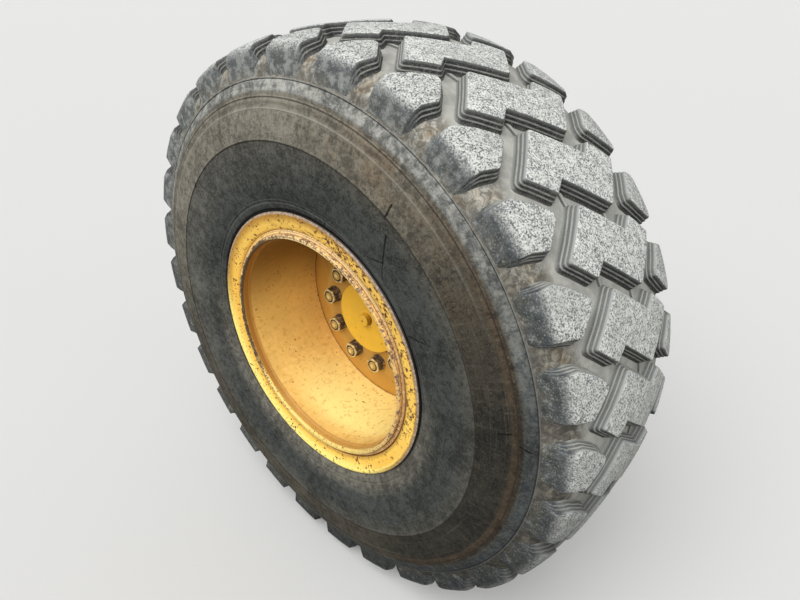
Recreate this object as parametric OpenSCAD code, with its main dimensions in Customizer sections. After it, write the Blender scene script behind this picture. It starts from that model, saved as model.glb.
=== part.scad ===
// Front wheel of a motor grader, with its hub and the stub axle that carries it.
// Frame: millimetres, +Z up, origin in the middle of the stub axle's mounting face,
// +Y into the machine. The wheel stands toward -Y and turns about the Y axis.
// Inside the modules local z is the distance outboard of the mounting face.

/* [Tyre] */
// Outside radius of the worn tread at its middle, mm
tyre_r = 735; // [725:1:750]
// Half the width over the tread lugs, mm
tread_half = 228; // [222:1:232]
// Depth of the grooves at the middle of the tread, mm
groove_depth = 28; // [20:1:30]
// How much the tread drops from its middle to its shoulders, mm
crown_drop = 30; // [24:1:34]
// Tread pitches round the tyre
pitches = 28; // [26:1:29]
// How far the sidewall stands out past the rim flange, mm
bulge = 20.7; // [16:0.1:24]

/* [Rim] */
// Radius of the rim flanges, mm
flange_r = 355.5; // [353:0.5:357]
// Width over both rim flanges, mm
rim_over = 480; // [474:1:486]
// Thickness of the rim's barrel in the gutter of the lock ring, mm
barrel_t = 9; // [7.5:0.5:11]
// Gap where the lock ring is split, mm
ring_gap = 6; // [3:1:12]
// Thickness of the wheel disc, mm
disc_t = 16; // [12:1:20]
// Depth of the disc's face at the nuts behind the outer rim flange, mm
disc_depth = 218; // [210:1:226]

/* [Hub and axle] */
// Distance from the mounting face to the outer rim flange, mm
reach = 520; // [512:1:540]
// Radius of the circle of the wheel studs, mm
stud_pcr = 142.875; // [140:0.125:146]
// Number of wheel studs
studs = 10; // [8:1:10]
// Radius of a wheel stud, mm
stud_r = 12.5; // [11:0.5:13]
// Width of a wheel nut across its flats, mm
nut_af = 40; // [36:1:42]
// Height of a wheel nut above its collar, mm
nut_h = 24; // [20:1:28]
// Radius of the hub's pilot that the disc fits over, mm
pilot_r = 106; // [102:0.5:110]
// Radius of the stub axle's mounting flange, mm
base_r = 150; // [144:1:160]
// Distance from the flange's edge to the centres of its bolt holes, mm
base_edge = 28; // [26:1:32]
// Radius of a mounting bolt hole, mm
base_hole_r = 13; // [11:0.5:14]

/* [Hidden] */
// Angle of the first tread block and of the first stud from +X toward +Z
block_deg = 6.7;
stud_deg = 28.5;
// Angle of the valve and of the lock ring's gap, on the side the picture hides
valve_deg = -20;
// Running fit of the hub on the stub axle
fit = 0.05;
// Rounding at the corners of the lugs, and how much wider a lug is at its foot
corner = 6;
foot_scale = 1.12;
mid = reach - rim_over / 2;
pitch_deg = 360 / pitches;
// Where the shoulder lugs start to roll over to the sidewall
roll_w = tread_half - 24;

// Rim: bead seats at 5 degrees, the band under the side ring, the gutter and the barrel
seat_r = flange_r - 38;
ring_w = 110;
toe_w = ring_w - 4;
seat_toe_r = seat_r - 60 * tan(5);
band_r = flange_r - 54;
band_end = ring_w + 4;
band_step = 4;
gutter_r = flange_r - 62.5;
gutter_w = 31;
lock_r = flange_r - 47.5;
barrel_r = gutter_r - barrel_t;
mouth_step = 2.5;
mouth_w = 21;
// Valve: its depth, the radius of its stem, its bend, its length in the barrel and past the bend
valve_depth = 150;
valve_r = 6;
valve_bend_r = barrel_r - 12;
valve_in = 24;
valve_tip = 52;

// Disc, nuts and cap
face_z = reach - disc_depth;
hub_face_z = face_z - disc_t;
face_r = stud_pcr + 31;
disc_dish = 47;
collar_h = 4;
stud_tip_z = face_z + collar_h + nut_h + 2;
stud_sunk = 30;
cap_z = face_z + 5;
cap_t = 14;
cap_r = pilot_r - 3.5;
plug_r = 18;
plug_h = 18;

// Hub and stub axle
plate_r = face_r - 5;
plate_t = 24;
neck_r = 92;
neck_step = 16;
seal_r = 80;
bore_r = 62;
inner_r = 50;
outer_r = 37.5;
hub_end = 56;
seal_z = 74;
inner_end = 120;
base_t = 28;
spigot_t = 14;
hole_r = base_r - base_edge;

// Rim flange: [radius less the flange radius, depth behind the flange's face]
flange_tyre_side = [[-38, 46], [-29.5, 34], [-24.5, 25], [-17.5, 18], [-9.5, 14], [-2.5, 12]];
flange_lip = [[0, 9], [0, 5], [-2, 1.2], [-6.5, 0]];
flange_front = [[-15.5, 1.2], [-31.5, 4], [-41.5, 7], [-46, 11]];

// Sidewall outside: [radius less the flange radius, outboard of the flange's face]
wall_out = [[2.5, -9], [6.5, -3], [15, 0], [19, 1.4], [20.5, 0.6], [27, 2.6], [29, 4.4], [45, 8.6],
    [75, 13.6], [115, 18.4], [150, 20.4], [161.5, 20.7], [164, 22.2], [166.5, 20.6], [195, 18], [228, 12],
    [254, 5], [275, -4], [286, -10]];
// Sidewall inside, the same columns
wall_in = [[-42, -100], [-33, -97], [-10, -62], [15, -40], [75, -16], [145, -8], [205, -12], [264, -36]];

// Groove floor: [share of tread_half, drop from the floor's middle]
floor_line = [[0, 0], [0.44, 2], [0.72, 9], [0.88, 22], [0.96, 40], [1, 59]];

// Tread: tops of the middle block and of the outboard shoulder lug as [along, across] in mm
block_top = [[16, 144], [98, 52], [12, -60], [33, -88], [-16, -144], [-98, -52], [-12, 60], [-33, 88]];
lug_top = [[67, 227], [166, 227], [164, 195], [138, 159], [107, 127], [93, 131], [52, 175], [63, 206]];
// Each fan of triangles on a top: [its middle, its corners], the block in two halves
block_fans = [[[19, 56], [0, 1, 2, 3, 4, 5, 13, 14, 15]], [[-19, -56], [5, 6, 7, 8, 9, 10, 11, 12, 13]]];
lug_fans = [[[108, 200], [for (i = [0 : 15]) i]]];

function outer(p) = [for (q = p) [flange_r + q[0], reach - q[1]]];
function inner(p) = [for (q = p) [flange_r + q[0], reach - rim_over + q[1]]];
function wall(p, side) = [for (q = p) [flange_r + q[0],
    mid + side * (rim_over / 2 + (q[1] > 0 ? q[1] * bulge / 20.7 : q[1]))]];
function back(p) = [for (i = [len(p) - 1 : -1 : 0]) p[i]];
function crown(w) = tyre_r - crown_drop * pow(abs(w) / tread_half, 3) - max(0, abs(w) - roll_w) * 0.95;
function floor_r(w) = tyre_r - groove_depth - lookup(abs(w) / tread_half, floor_line);
function ground(side) = [for (q = floor_line)
    [tyre_r - groove_depth - q[1], mid + side * q[0] * tread_half]];
// The inside of the tyre under the tread
function liner() = [for (q = [[-80, -185], [-59, -130], [-53, 0], [-59, 130], [-80, 185]])
    [tyre_r + q[0], mid + q[1]]];
function angle(along) = along / tyre_r * 180 / PI;
function on_tyre(r, along, w) = [r * cos(angle(along)), r * sin(angle(along)), mid + w];
function toward(a, b) = a + (b - a) * min(0.4, corner / norm(b - a));
// Every corner of an outline cut off by two points
function blunt(p) = [for (i = [0 : len(p) - 1]) for (k = [-1, 1])
    toward(p[i], p[(i + k + len(p)) % len(p)])];
function middle(p) = [for (k = [0, 1]) (min([for (q = p) q[k]]) + max([for (q = p) q[k]])) / 2];
function inside(w) = min(max(w, 1 - tread_half), tread_half - 1);

module on_axis() {
    rotate([90, 0, 0]) children();
}

// A lug whose top follows the crown and whose foot, a little larger, lies under the groove floor.
module lug(outline, fans, side) {
    top = side * blunt(outline);
    n = len(top);
    c = middle(top);
    foot = [for (q = top) c + (q - c) * foot_scale];
    f = len(fans);
    points = concat(
        [for (q = top) on_tyre(crown(q[1]), q[0], q[1])],
        [for (q = foot) on_tyre(floor_r(inside(q[1])) - 9, q[0], inside(q[1]))],
        [for (a = fans) let (m = side * a[0]) on_tyre(crown(m[1]), m[0], m[1])],
        [for (a = fans) let (m = side * a[0]) on_tyre(floor_r(m[1]) - 9, m[0], m[1])]);
    faces = concat(
        [for (k = [0 : f - 1]) for (i = [0 : len(fans[k][1]) - 1])
            [2 * n + k, fans[k][1][i], fans[k][1][(i + 1) % len(fans[k][1])]]],
        [for (i = [0 : n - 1]) [i, n + i, (i + 1) % n]],
        [for (i = [0 : n - 1]) [n + i, n + (i + 1) % n, (i + 1) % n]],
        [for (k = [0 : f - 1]) for (i = [0 : len(fans[k][1]) - 1])
            [2 * n + f + k, n + fans[k][1][(i + 1) % len(fans[k][1])], n + fans[k][1][i]]]);
    polyhedron(points, faces);
}

module tyre() {
    color([0.16, 0.16, 0.16]) on_axis() union() {
        rotate_extrude($fn = 180) polygon(concat(
            outer(flange_tyre_side), wall(wall_out, 1), back(ground(1)),
            [for (q = ground(-1)) if (q[1] < mid) q], back(wall(wall_out, -1)),
            back(inner(flange_tyre_side)), wall(wall_in, -1), liner(), back(wall(wall_in, 1))));
        for (i = [0 : pitches - 1]) rotate([0, 0, block_deg + i * pitch_deg]) {
            lug(block_top, block_fans, 1);
            lug(lug_top, lug_fans, 1);
            lug(lug_top, lug_fans, -1);
        }
    }
}

module rim_base() {
    color([0.85, 0.6, 0.2]) on_axis() difference() {
        rotate_extrude($fn = 180) polygon(concat(
            [[barrel_r + mouth_step, reach - 5], [barrel_r + mouth_step + 3, reach], [gutter_r + 3, reach],
            [gutter_r + 5, reach - 2], [gutter_r + 5, reach - 10], [gutter_r, reach - 14],
            [gutter_r, reach - gutter_w], [band_r, reach - gutter_w], [band_r, reach - band_end],
            [band_r - band_step, reach - band_end - 6], [band_r - band_step, reach - rim_over + toe_w + 10],
            [seat_toe_r - 3, reach - rim_over + toe_w + 4], [seat_toe_r, reach - rim_over + toe_w]],
            inner(flange_tyre_side), inner(flange_lip), inner(flange_front),
            [[barrel_r, reach - rim_over + 22], [barrel_r, reach - mouth_w - 4],
            [barrel_r + mouth_step, reach - mouth_w]]));
        rotate([0, 0, valve_deg]) translate([barrel_r - 10, 0, reach - valve_depth]) rotate([0, 90, 0])
            cylinder(r = valve_r, h = 40, $fn = 32);
    }
}

module side_ring() {
    color([0.9, 0.68, 0.3]) on_axis() rotate_extrude($fn = 180) polygon(concat(
        [[band_r, reach - ring_w], [seat_toe_r - 2, reach - ring_w], [seat_toe_r, reach - toe_w]],
        outer(flange_tyre_side), outer(flange_lip), outer(flange_front),
        [[flange_r - 46, reach - gutter_w], [band_r, reach - gutter_w]]));
}

module lock_ring() {
    color([0.75, 0.55, 0.4]) on_axis() difference() {
        rotate_extrude($fn = 180) polygon([[gutter_r, reach - 14], [gutter_r, reach - gutter_w],
            [lock_r, reach - gutter_w], [lock_r, reach - 12], [lock_r - 2, reach - 10],
            [gutter_r + 5, reach - 10]]);
        rotate([0, 0, valve_deg]) translate([gutter_r - 10, -ring_gap / 2, reach - gutter_w - 9])
            cube([40, ring_gap, 40]);
    }
}

module wheel_disc() {
    color([0.8, 0.58, 0.22]) on_axis() difference() {
        rotate_extrude($fn = 180) polygon([[pilot_r, face_z], [face_r, face_z], [face_r + 8, face_z - 1.2],
            [barrel_r, face_z - disc_dish], [barrel_r, face_z - disc_dish - disc_t],
            [face_r + 4, hub_face_z - 1.2], [face_r - 4, hub_face_z], [pilot_r, hub_face_z]]);
        at_studs() translate([0, 0, hub_face_z - 1]) cylinder(r = stud_r + 1, h = disc_t + 2, $fn = 32);
    }
}

module at_studs() {
    for (i = [0 : studs - 1]) rotate([0, 0, stud_deg + i * 360 / studs])
        translate([stud_pcr, 0, 0]) children();
}

module valve_stem() {
    color([0.7, 0.6, 0.35]) on_axis() rotate([0, 0, valve_deg]) union() {
        translate([barrel_r - 10, 0, reach - valve_depth]) rotate([0, 90, 0])
            cylinder(r = valve_r, h = valve_in, $fn = 32);
        translate([valve_bend_r, 0, reach - valve_depth]) sphere(r = valve_r + 0.5, $fn = 32);
        translate([valve_bend_r, 0, reach - valve_depth]) cylinder(r = valve_r - 2, h = valve_tip, $fn = 32);
    }
}

module valve_cap() {
    color([0.2, 0.2, 0.2]) on_axis() rotate([0, 0, valve_deg])
        translate([valve_bend_r, 0, reach - valve_depth + valve_tip])
        cylinder(r = valve_r - 0.5, h = 14, $fn = 32);
}

module hub() {
    color([0.8, 0.58, 0.2]) on_axis() difference() {
        rotate_extrude($fn = 180) polygon([[seal_r, hub_end], [neck_r - 2, hub_end], [neck_r, hub_end + 4],
            [neck_r, hub_face_z - plate_t - 38], [neck_r + neck_step, hub_face_z - plate_t - 6],
            [plate_r - 2, hub_face_z - plate_t], [plate_r, hub_face_z - plate_t + 2], [plate_r, hub_face_z],
            [pilot_r, hub_face_z], [pilot_r, cap_z - 2], [pilot_r - 2, cap_z], [60, cap_z], [60, cap_z - 16],
            [outer_r + fit, cap_z - 16], [outer_r + fit, cap_z - 50], [bore_r, cap_z - 56],
            [bore_r, inner_end + 2], [inner_r + fit, inner_end - 4], [inner_r + fit, seal_z + 6],
            [seal_r - 10, seal_z + 6], [seal_r, seal_z]]);
        at_studs() translate([0, 0, hub_face_z - stud_sunk])
            cylinder(r = stud_r, h = stud_sunk + 1, $fn = 32);
    }
}

module hub_cap() {
    color([0.88, 0.66, 0.2]) on_axis() rotate_extrude($fn = 180) polygon([[0, cap_z + cap_t],
        [cap_r - 3, cap_z + cap_t], [cap_r - 0.9, cap_z + cap_t - 0.9], [cap_r, cap_z + cap_t - 3],
        [cap_r, cap_z], [60, cap_z], [60, cap_z + 5], [0, cap_z + 5]]);
}

module cap_plug() {
    color([0.88, 0.66, 0.2]) on_axis() rotate_extrude($fn = 64) polygon([[0, cap_z + cap_t],
        [plug_r, cap_z + cap_t], [plug_r, cap_z + cap_t + plug_h - 3], [plug_r - 3, cap_z + cap_t + plug_h],
        [3, cap_z + cap_t + plug_h], [0, cap_z + cap_t + plug_h - 3]]);
}

module hub_seal() {
    color([0.1, 0.1, 0.1]) on_axis() rotate_extrude($fn = 128) polygon([[bore_r + fit, hub_end + 1],
        [seal_r, hub_end + 1], [seal_r, seal_z - 2], [bore_r + fit, seal_z - 2]]);
}

module wheel_studs() {
    color([0.5, 0.45, 0.35]) on_axis() at_studs() translate([0, 0, hub_face_z - stud_sunk])
        cylinder(r = stud_r, h = stud_tip_z - hub_face_z + stud_sunk, $fn = 32);
}

module wheel_nuts() {
    color([0.35, 0.3, 0.25]) on_axis() at_studs() translate([0, 0, face_z]) difference() {
        union() {
            cylinder(r = nut_af * 0.6, h = collar_h, $fn = 48);
            translate([0, 0, collar_h]) cylinder(r = nut_af / 2 / cos(30), h = nut_h, $fn = 6);
        }
        translate([0, 0, -1]) cylinder(r = stud_r, h = nut_h + collar_h + 2, $fn = 32);
    }
}

module stub_axle() {
    color([0.8, 0.58, 0.2]) on_axis() difference() {
        rotate_extrude($fn = 180) polygon([[0, -spigot_t], [seal_r - 2, -spigot_t], [seal_r, 2 - spigot_t],
            [seal_r, 0], [base_r - 2, 0], [base_r, 2], [base_r, base_t - 2], [base_r - 2, base_t],
            [neck_r, base_t], [seal_r, base_t + 8], [bore_r + 8, hub_end - 6], [bore_r, hub_end - 2],
            [bore_r, seal_z - 1], [inner_r + 6, seal_z + 2], [inner_r, seal_z + 3], [inner_r, inner_end - 1],
            [outer_r + 6.5, inner_end + 6], [outer_r + 6.5, cap_z - 62], [outer_r, cap_z - 54],
            [outer_r, cap_z - 10], [outer_r - 2.5, cap_z - 7], [0, cap_z - 7]]);
        for (i = [0 : 7]) rotate([0, 0, 22.5 + i * 45]) translate([hole_r, 0, -1])
            cylinder(r = base_hole_r, h = base_t + 2, $fn = 32);
    }
}

tyre();
rim_base();
side_ring();
lock_ring();
wheel_disc();
valve_stem();
valve_cap();
hub();
hub_cap();
cap_plug();
hub_seal();
wheel_studs();
wheel_nuts();
stub_axle();
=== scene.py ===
import math

import bmesh
import bpy
from bpy.props import FloatProperty, FloatVectorProperty, IntProperty, PointerProperty
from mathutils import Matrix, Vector
from mathutils.geometry import delaunay_2d_cdt


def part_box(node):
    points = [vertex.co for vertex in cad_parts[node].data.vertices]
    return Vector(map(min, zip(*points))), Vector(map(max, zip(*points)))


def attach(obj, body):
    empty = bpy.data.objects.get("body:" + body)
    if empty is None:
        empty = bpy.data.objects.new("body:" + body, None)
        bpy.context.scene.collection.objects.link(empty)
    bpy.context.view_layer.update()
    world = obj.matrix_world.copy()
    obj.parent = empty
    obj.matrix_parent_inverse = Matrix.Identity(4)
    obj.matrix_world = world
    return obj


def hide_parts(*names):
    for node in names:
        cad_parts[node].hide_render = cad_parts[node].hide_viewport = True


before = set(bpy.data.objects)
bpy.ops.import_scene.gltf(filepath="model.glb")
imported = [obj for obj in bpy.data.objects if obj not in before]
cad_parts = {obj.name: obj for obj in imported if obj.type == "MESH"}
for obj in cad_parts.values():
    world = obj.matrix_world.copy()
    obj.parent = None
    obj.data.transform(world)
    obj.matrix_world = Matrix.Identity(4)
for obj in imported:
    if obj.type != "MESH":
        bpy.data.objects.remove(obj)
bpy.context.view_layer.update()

bl_info = {
    "name": "Grader Wheel",
    "version": (1, 0, 0),
    "blender": (4, 5, 0),
    "location": "3D View > Sidebar > Grader Wheel",
    "description": "Dresses the front wheel of a motor grader: tread, sidewall, painted rim, nuts and studio",
    "category": "Object",
}

TYRE_LOW, TYRE_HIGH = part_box("tyre")
MIDDLE = (TYRE_LOW.y + TYRE_HIGH.y) / 2
DISC_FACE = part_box("wheel_nuts")[1].y
STUD_CIRCLE = 0.142875


def linear(shade):
    """A colour in scene linear values. In whole numbers, 0 to 255, it says how the colour should look on screen."""
    if not all(isinstance(part, int) for part in shade):
        return tuple(shade)
    return tuple(c / 12.92 if c <= 0.04045 else ((c + 0.055) / 1.055) ** 2.4 for c in (part / 255 for part in shade))


def times(shade, amount):
    """A colour made darker or lighter, with no part over 1."""
    return tuple(min(1.0, part * amount) for part in shade)


def length(name, description, default):
    """A size in metres for a group of settings."""
    return FloatProperty(name=name, description=description, default=default, unit="LENGTH", subtype="DISTANCE")


def colour(name, description, *shade):
    """A colour for a group of settings."""
    return FloatVectorProperty(name=name, description=description, default=linear(shade), size=3, min=0, max=1,
                               subtype="COLOR")


class TyreSettings(bpy.types.PropertyGroup):
    """Sizes and colours of the tyre."""
    crown: length("Crown radius", "Radius of the worn tread at its middle", 0.7338)
    half: length("Half width", "Half the width over the shoulder lugs", 0.228)
    drop: length("Crown drop", "How much the tread falls from its middle to its shoulders", 0.030)
    groove: length("Groove depth", "Depth of the grooves at the middle of the tread", 0.028)
    roll: length("Shoulder radius", "Radius that rolls the shoulder lugs over to the sidewall", 0.026)
    edge: length("Edge line radius", "Radius of the line where the shoulder lugs end", 0.6435)
    pitches: IntProperty(name="Pitches", description="Tread pitches round the tyre", default=28, min=20, max=36)
    first: FloatProperty(name="First pitch", description="Angle of the first tread block", subtype="ANGLE",
                         default=math.radians(6.7))
    grit: length("Edge wear", "How far worn edges wander from their line", 0.0007)
    worn: colour("Worn face", "Pale grains of the worn tread faces", 214, 216, 210)
    grain: colour("Dark grains", "Dark grains of the worn tread faces", 112, 115, 115)
    # The rounded edge colour is smooth grey rubber with a painted highlight, strongest on the side that faces the
    # light
    edge_grey: colour("Rounded edge", "Smooth grey rubber where a worn face rounds over", 154, 156, 153)
    # Lug walls in two copies: dark rubber, and a lighter copy on the side that faces the light, painted light with
    # some dust
    wall: colour("Lug wall", "Unworn rubber on the sides of the lugs", 46, 47, 46)
    dust_and_light_wall: colour("Dusted wall", "Lug walls on the side that takes the dust", 106, 108, 106)
    # The ledge colour is dust on the steps, laid stronger on the side that faces the light as painted light
    ledge: colour("Ledge", "Dust on the steps of the lug walls", 156, 156, 150)
    flank: colour("Lug flank", "Weathered rubber on the outer ends of the shoulder lugs", 84, 88, 87)
    smudge: colour("Smudge", "Blue-grey marks beside the worn faces", 64, 69, 76)
    floor: colour("Groove floor", "Dusty floor of the grooves", 174, 174, 167)
    dirt: colour("Dirt", "Dried dirt in the groove outlets", 132, 114, 90)
    inner_wall: colour("Inner sidewall", "Dark sidewall near the rim", 58, 61, 59)
    outer_wall: colour("Outer sidewall", "Brown sidewall below the shoulder", 72, 68, 59)
    dusty: colour("Dusty side", "Pale dust on the side that the weather reaches", 118, 114, 103)
    brown: colour("Brown side", "Dried mud stains on the sidewall", 98, 84, 66)
    band: colour("Shoulder band", "Smooth band next to the edge line", 62, 65, 64)


class RimSettings(bpy.types.PropertyGroup):
    """Colours of the rim, hub and axle, and the number of studs."""
    flange: colour("Flange paint", "Paint on the removable flange", 255, 206, 92)
    barrel: colour("Barrel paint", "Paint inside the barrel", 234, 190, 104)
    disc: colour("Disc paint", "Paint on the disc and the hub", 200, 150, 64)
    cap: colour("Cap paint", "Newer paint on the hub cap", 244, 190, 52)
    # A painted highlight on the flange's rounded crest, low down and on the lower left
    bright: colour("Bright paint", "Fresh yellow where the flange is washed clean", 255, 236, 130)
    # Pale colour low in the barrel: dust, with painted light where light falls on the lower barrel
    low_dust_and_light: colour("Peach dust", "Pale dust that lies low in the barrel", 255, 236, 150)
    lip: colour("Worn lip", "Grey-brown metal where the lip has lost its paint", 150, 130, 110)
    ring: colour("Lock ring", "Pale worn paint of the lock ring", 250, 218, 152)
    primer: colour("Primer", "Cream primer on the lip of the gutter", 228, 200, 140)
    bare: colour("Bare steel", "Brown-grey steel where primer is gone", 160, 130, 102)
    rust: colour("Rust", "Rust in chips and joints", 136, 80, 36)
    chip: colour("Chips", "Brown steel in the deeper chips", 86, 54, 22)
    dust: colour("Dust", "Grey dust lying on the paint", 196, 160, 104)
    nut: colour("Nut", "Dark weathered steel of the nuts", 78, 64, 48)
    face: colour("Nut face", "Old paint left round the ends of the nuts", 230, 200, 134)
    studs: IntProperty(name="Studs", description="Number of wheel studs", default=10, min=6, max=12)
    first_stud: FloatProperty(name="First stud", description="Angle of the first stud", subtype="ANGLE",
                              default=math.radians(28.5))


class StageSettings(bpy.types.PropertyGroup):
    """The floor, the lights and the camera."""
    floor: colour("Floor", "Plain pale floor", 0.60, 0.60, 0.59)
    bounce: colour("Ground light", "Colour that the floor throws back on the object", 0.26, 0.26, 0.25)
    key: FloatProperty(name="Key light", description="Strength of the soft light from above and in front",
                       default=2.8)
    side: FloatProperty(name="Side light", description="Strength of the soft light from the right", default=0.8)
    fill: FloatProperty(name="Sky", description="Strength of the even light from all round", default=0.5)
    eye: FloatVectorProperty(name="Camera", description="Camera position", size=3, subtype="TRANSLATION",
                             default=(1.0001, -1.2960, 0.8492))
    turn: FloatProperty(name="Azimuth", description="Heading of the camera about the upright", subtype="ANGLE",
                        default=math.radians(42.02))
    tilt: FloatProperty(name="Tilt", description="How far the camera looks down", subtype="ANGLE",
                        default=math.radians(29.576))
    lens: FloatProperty(name="Lens", description="Focal length in millimetres", default=27.0)


# Shader arithmetic

def arithmetic(operation, reflected=False):
    """A method that adds one Math node for an operator, or for its reflected form."""
    def method(self, other):
        return self.math(operation, other, self) if reflected else self.math(operation, self, other)
    return method


class Value:
    """A shader socket that takes part in arithmetic: each operation adds a Math node."""

    def __init__(self, nodes, socket):
        self.nodes = nodes
        self.socket = socket

    def math(self, operation, first, second=0.0):
        return self.nodes.node("ShaderNodeMath", {"operation": operation}, {0: first, 1: second})

    __add__, __radd__ = arithmetic("ADD"), arithmetic("ADD", True)
    __sub__, __rsub__ = arithmetic("SUBTRACT"), arithmetic("SUBTRACT", True)
    __mul__, __rmul__ = arithmetic("MULTIPLY"), arithmetic("MULTIPLY", True)
    __truediv__, __rtruediv__ = arithmetic("DIVIDE"), arithmetic("DIVIDE", True)
    __pow__ = arithmetic("POWER")
    most, least = arithmetic("MAXIMUM"), arithmetic("MINIMUM")

    def __abs__(self):
        return self.math("ABSOLUTE", self)

    def rise(self, low, high):
        """0 below low, 1 above high, smooth between; falls where low is above high."""
        if low > high:
            return 1 - self.rise(high, low)
        return self.nodes.node("ShaderNodeMapRange", {"interpolation_type": "SMOOTHSTEP"},
                               {"Value": self, "From Min": low, "From Max": high})

    def hill(self, centre, reach):
        """1 at centre, falling to 0 at reach to either side."""
        return abs(self - centre).rise(reach, 0)


class Nodes:
    """A node tree being written, for a material, the world or a modifier."""

    def __init__(self, tree):
        self.tree = tree
        tree.nodes.clear()

    def node(self, kind, settings=None, sockets=None, out=0):
        """Adds a node: its settings first, then the values or links of its sockets. Gives one of its outputs."""
        made = self.tree.nodes.new(kind)
        for key, value in (settings or {}).items():
            if key == "stops":
                ramp = made.color_ramp
                while len(ramp.elements) < len(value):
                    ramp.elements.new(1.0)
                for stop, (position, shade) in zip(ramp.elements, value):
                    stop.position = position
                    stop.color = (*linear(shade), 1)
            else:
                setattr(made, key, value)
        for key, value in (sockets or {}).items():
            target = made.inputs[key]
            if isinstance(value, Value):
                self.tree.links.new(value.socket, target)
            elif target.type == "RGBA":
                target.default_value = (*linear(value), 1)
            else:
                target.default_value = value
        return Value(self, made.outputs[out]) if made.outputs else None


class Finish(Nodes):
    """A material being written, with the wheel's own coordinates ready to use."""

    def __init__(self, name, roughness=0.8, **constants):
        self.material = bpy.data.materials.new(name)
        self.material.use_nodes = True
        super().__init__(self.material.node_tree)
        self.constants = {"Roughness": roughness, **{key.replace("_", " "): v for key, v in constants.items()}}
        self.place = self.node("ShaderNodeTexCoord", out="Object")
        self.x, self.y, self.z = [self.node("ShaderNodeSeparateXYZ", {}, {0: self.place}, axis) for axis in "XYZ"]
        self.radius = (self.x * self.x + self.z * self.z) ** 0.5
        self.right, self.up = self.x / self.radius, self.z / self.radius
        self.across = abs(self.y - MIDDLE)

    def blend(self, mask, under, over):
        """The colour over laid on the colour under where mask is 1."""
        return self.node("ShaderNodeMix", {"data_type": "RGBA"}, {0: mask, 6: under, 7: over}, 2)

    def layers(self, under, *coats):
        """Coats of colour laid over each other in turn, each given as its mask and its colour."""
        for mask, over in coats:
            under = self.blend(mask, under, over)
        return under

    def deepen(self, shade, amount):
        """The colour multiplied by a grey level."""
        return self.node("ShaderNodeVectorMath", {"operation": "SCALE"}, {0: shade, "Scale": amount})

    def noise(self, scale, detail=3.0, rough=0.55, at=None, shift=0.0, twist=0.0):
        """Noise over the piece. Noises of one scale differ by their shift."""
        moved = self.node("ShaderNodeVectorMath", {"operation": "ADD"},
                          {0: at or self.place, 1: (shift, shift * 0.7, shift * 1.3)})
        return self.node("ShaderNodeTexNoise", {}, {"Vector": moved, "Scale": scale, "Detail": detail,
                                                   "Roughness": rough, "Distortion": twist})

    def stretched(self, x, y, z):
        """Coordinates made of three values, so that a pattern is drawn out along one of them."""
        return self.node("ShaderNodeCombineXYZ", {}, {"X": x, "Y": y, "Z": z})

    def wound(self, along, outward):
        """Coordinates that follow the wheel round, so that a pattern is drawn out into rings."""
        return self.stretched(self.right * along, self.radius * outward, self.up * along)

    def spoked(self, along, outward):
        """Coordinates that follow the wheel outward, so that a pattern is drawn out into spokes."""
        return self.stretched(self.right * along, (self.radius + self.y) * outward, self.up * along)

    def toward(self, right, up):
        """How far a place lies round the wheel toward that direction, as the outer face is seen: 1 to -1."""
        return self.right * right + self.up * up

    def mark(self, name):
        """One of the piece's own attributes."""
        return self.node("ShaderNodeAttribute", {"attribute_name": name}, {}, "Fac")

    def crack(self, start, end, width):
        """1 along a crack between two points on the sidewall, each given as its angle in degrees and its radius."""
        (x0, z0), (x1, z1) = [(r * math.cos(math.radians(a)), r * math.sin(math.radians(a))) for a, r in (start, end)]
        run, rise = x1 - x0, z1 - z0
        share = ((self.x - x0) * run + (self.z - z0) * rise) / (run * run + rise * rise)
        share = share.most(0.0).least(1.0)
        aside, above = self.x - (share * run + x0), self.z - (share * rise + z0)
        return ((aside * aside + above * above) ** 0.5 + (self.noise(90, 2.0) - 0.5) * 0.006).rise(width, width * 0.4)

    def use(self, shade, height=None, distance=0.001, strength=1.0, **varied):
        """Writes the surface from the colour, a height for small bumps and other varied looks. Gives the material."""
        looks = {**self.constants, "Base Color": shade, **{key.title(): value for key, value in varied.items()}}
        if height is not None:
            looks["Normal"] = self.node("ShaderNodeBump", {}, {"Height": height, "Distance": distance,
                                                               "Strength": strength}, "Normal")
        self.node("ShaderNodeOutputMaterial", {}, {0: self.node("ShaderNodeBsdfPrincipled", {}, looks)})
        return self.material


# The tyre's rubber

# Where the visible sidewall starts next to the flange, and how far it reaches outward to the edge line
WALL_START = 0.36
WALL_HEIGHT = 0.284
# Cracks in the outer sidewall: (angle in degrees, radius) of both ends, and half the width
CRACKS = (((54.5, 0.488), (51.2, 0.425), 0.0036), ((51.2, 0.425), (57.5, 0.388), 0.0024),
          ((51.2, 0.425), (48.3, 0.386), 0.0020), ((27.0, 0.420), (29.2, 0.368), 0.0022),
          ((57.2, 0.548), (57.0, 0.518), 0.0028), ((8.0, 0.594), (7.4, 0.569), 0.0034),
          ((4.6, 0.628), (5.6, 0.610), 0.0026), ((138.4, 0.521), (139.0, 0.516), 0.0048),
          ((76.4, 0.374), (77.2, 0.362), 0.0030), ((134.0, 0.628), (134.2, 0.600), 0.0020))


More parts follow.
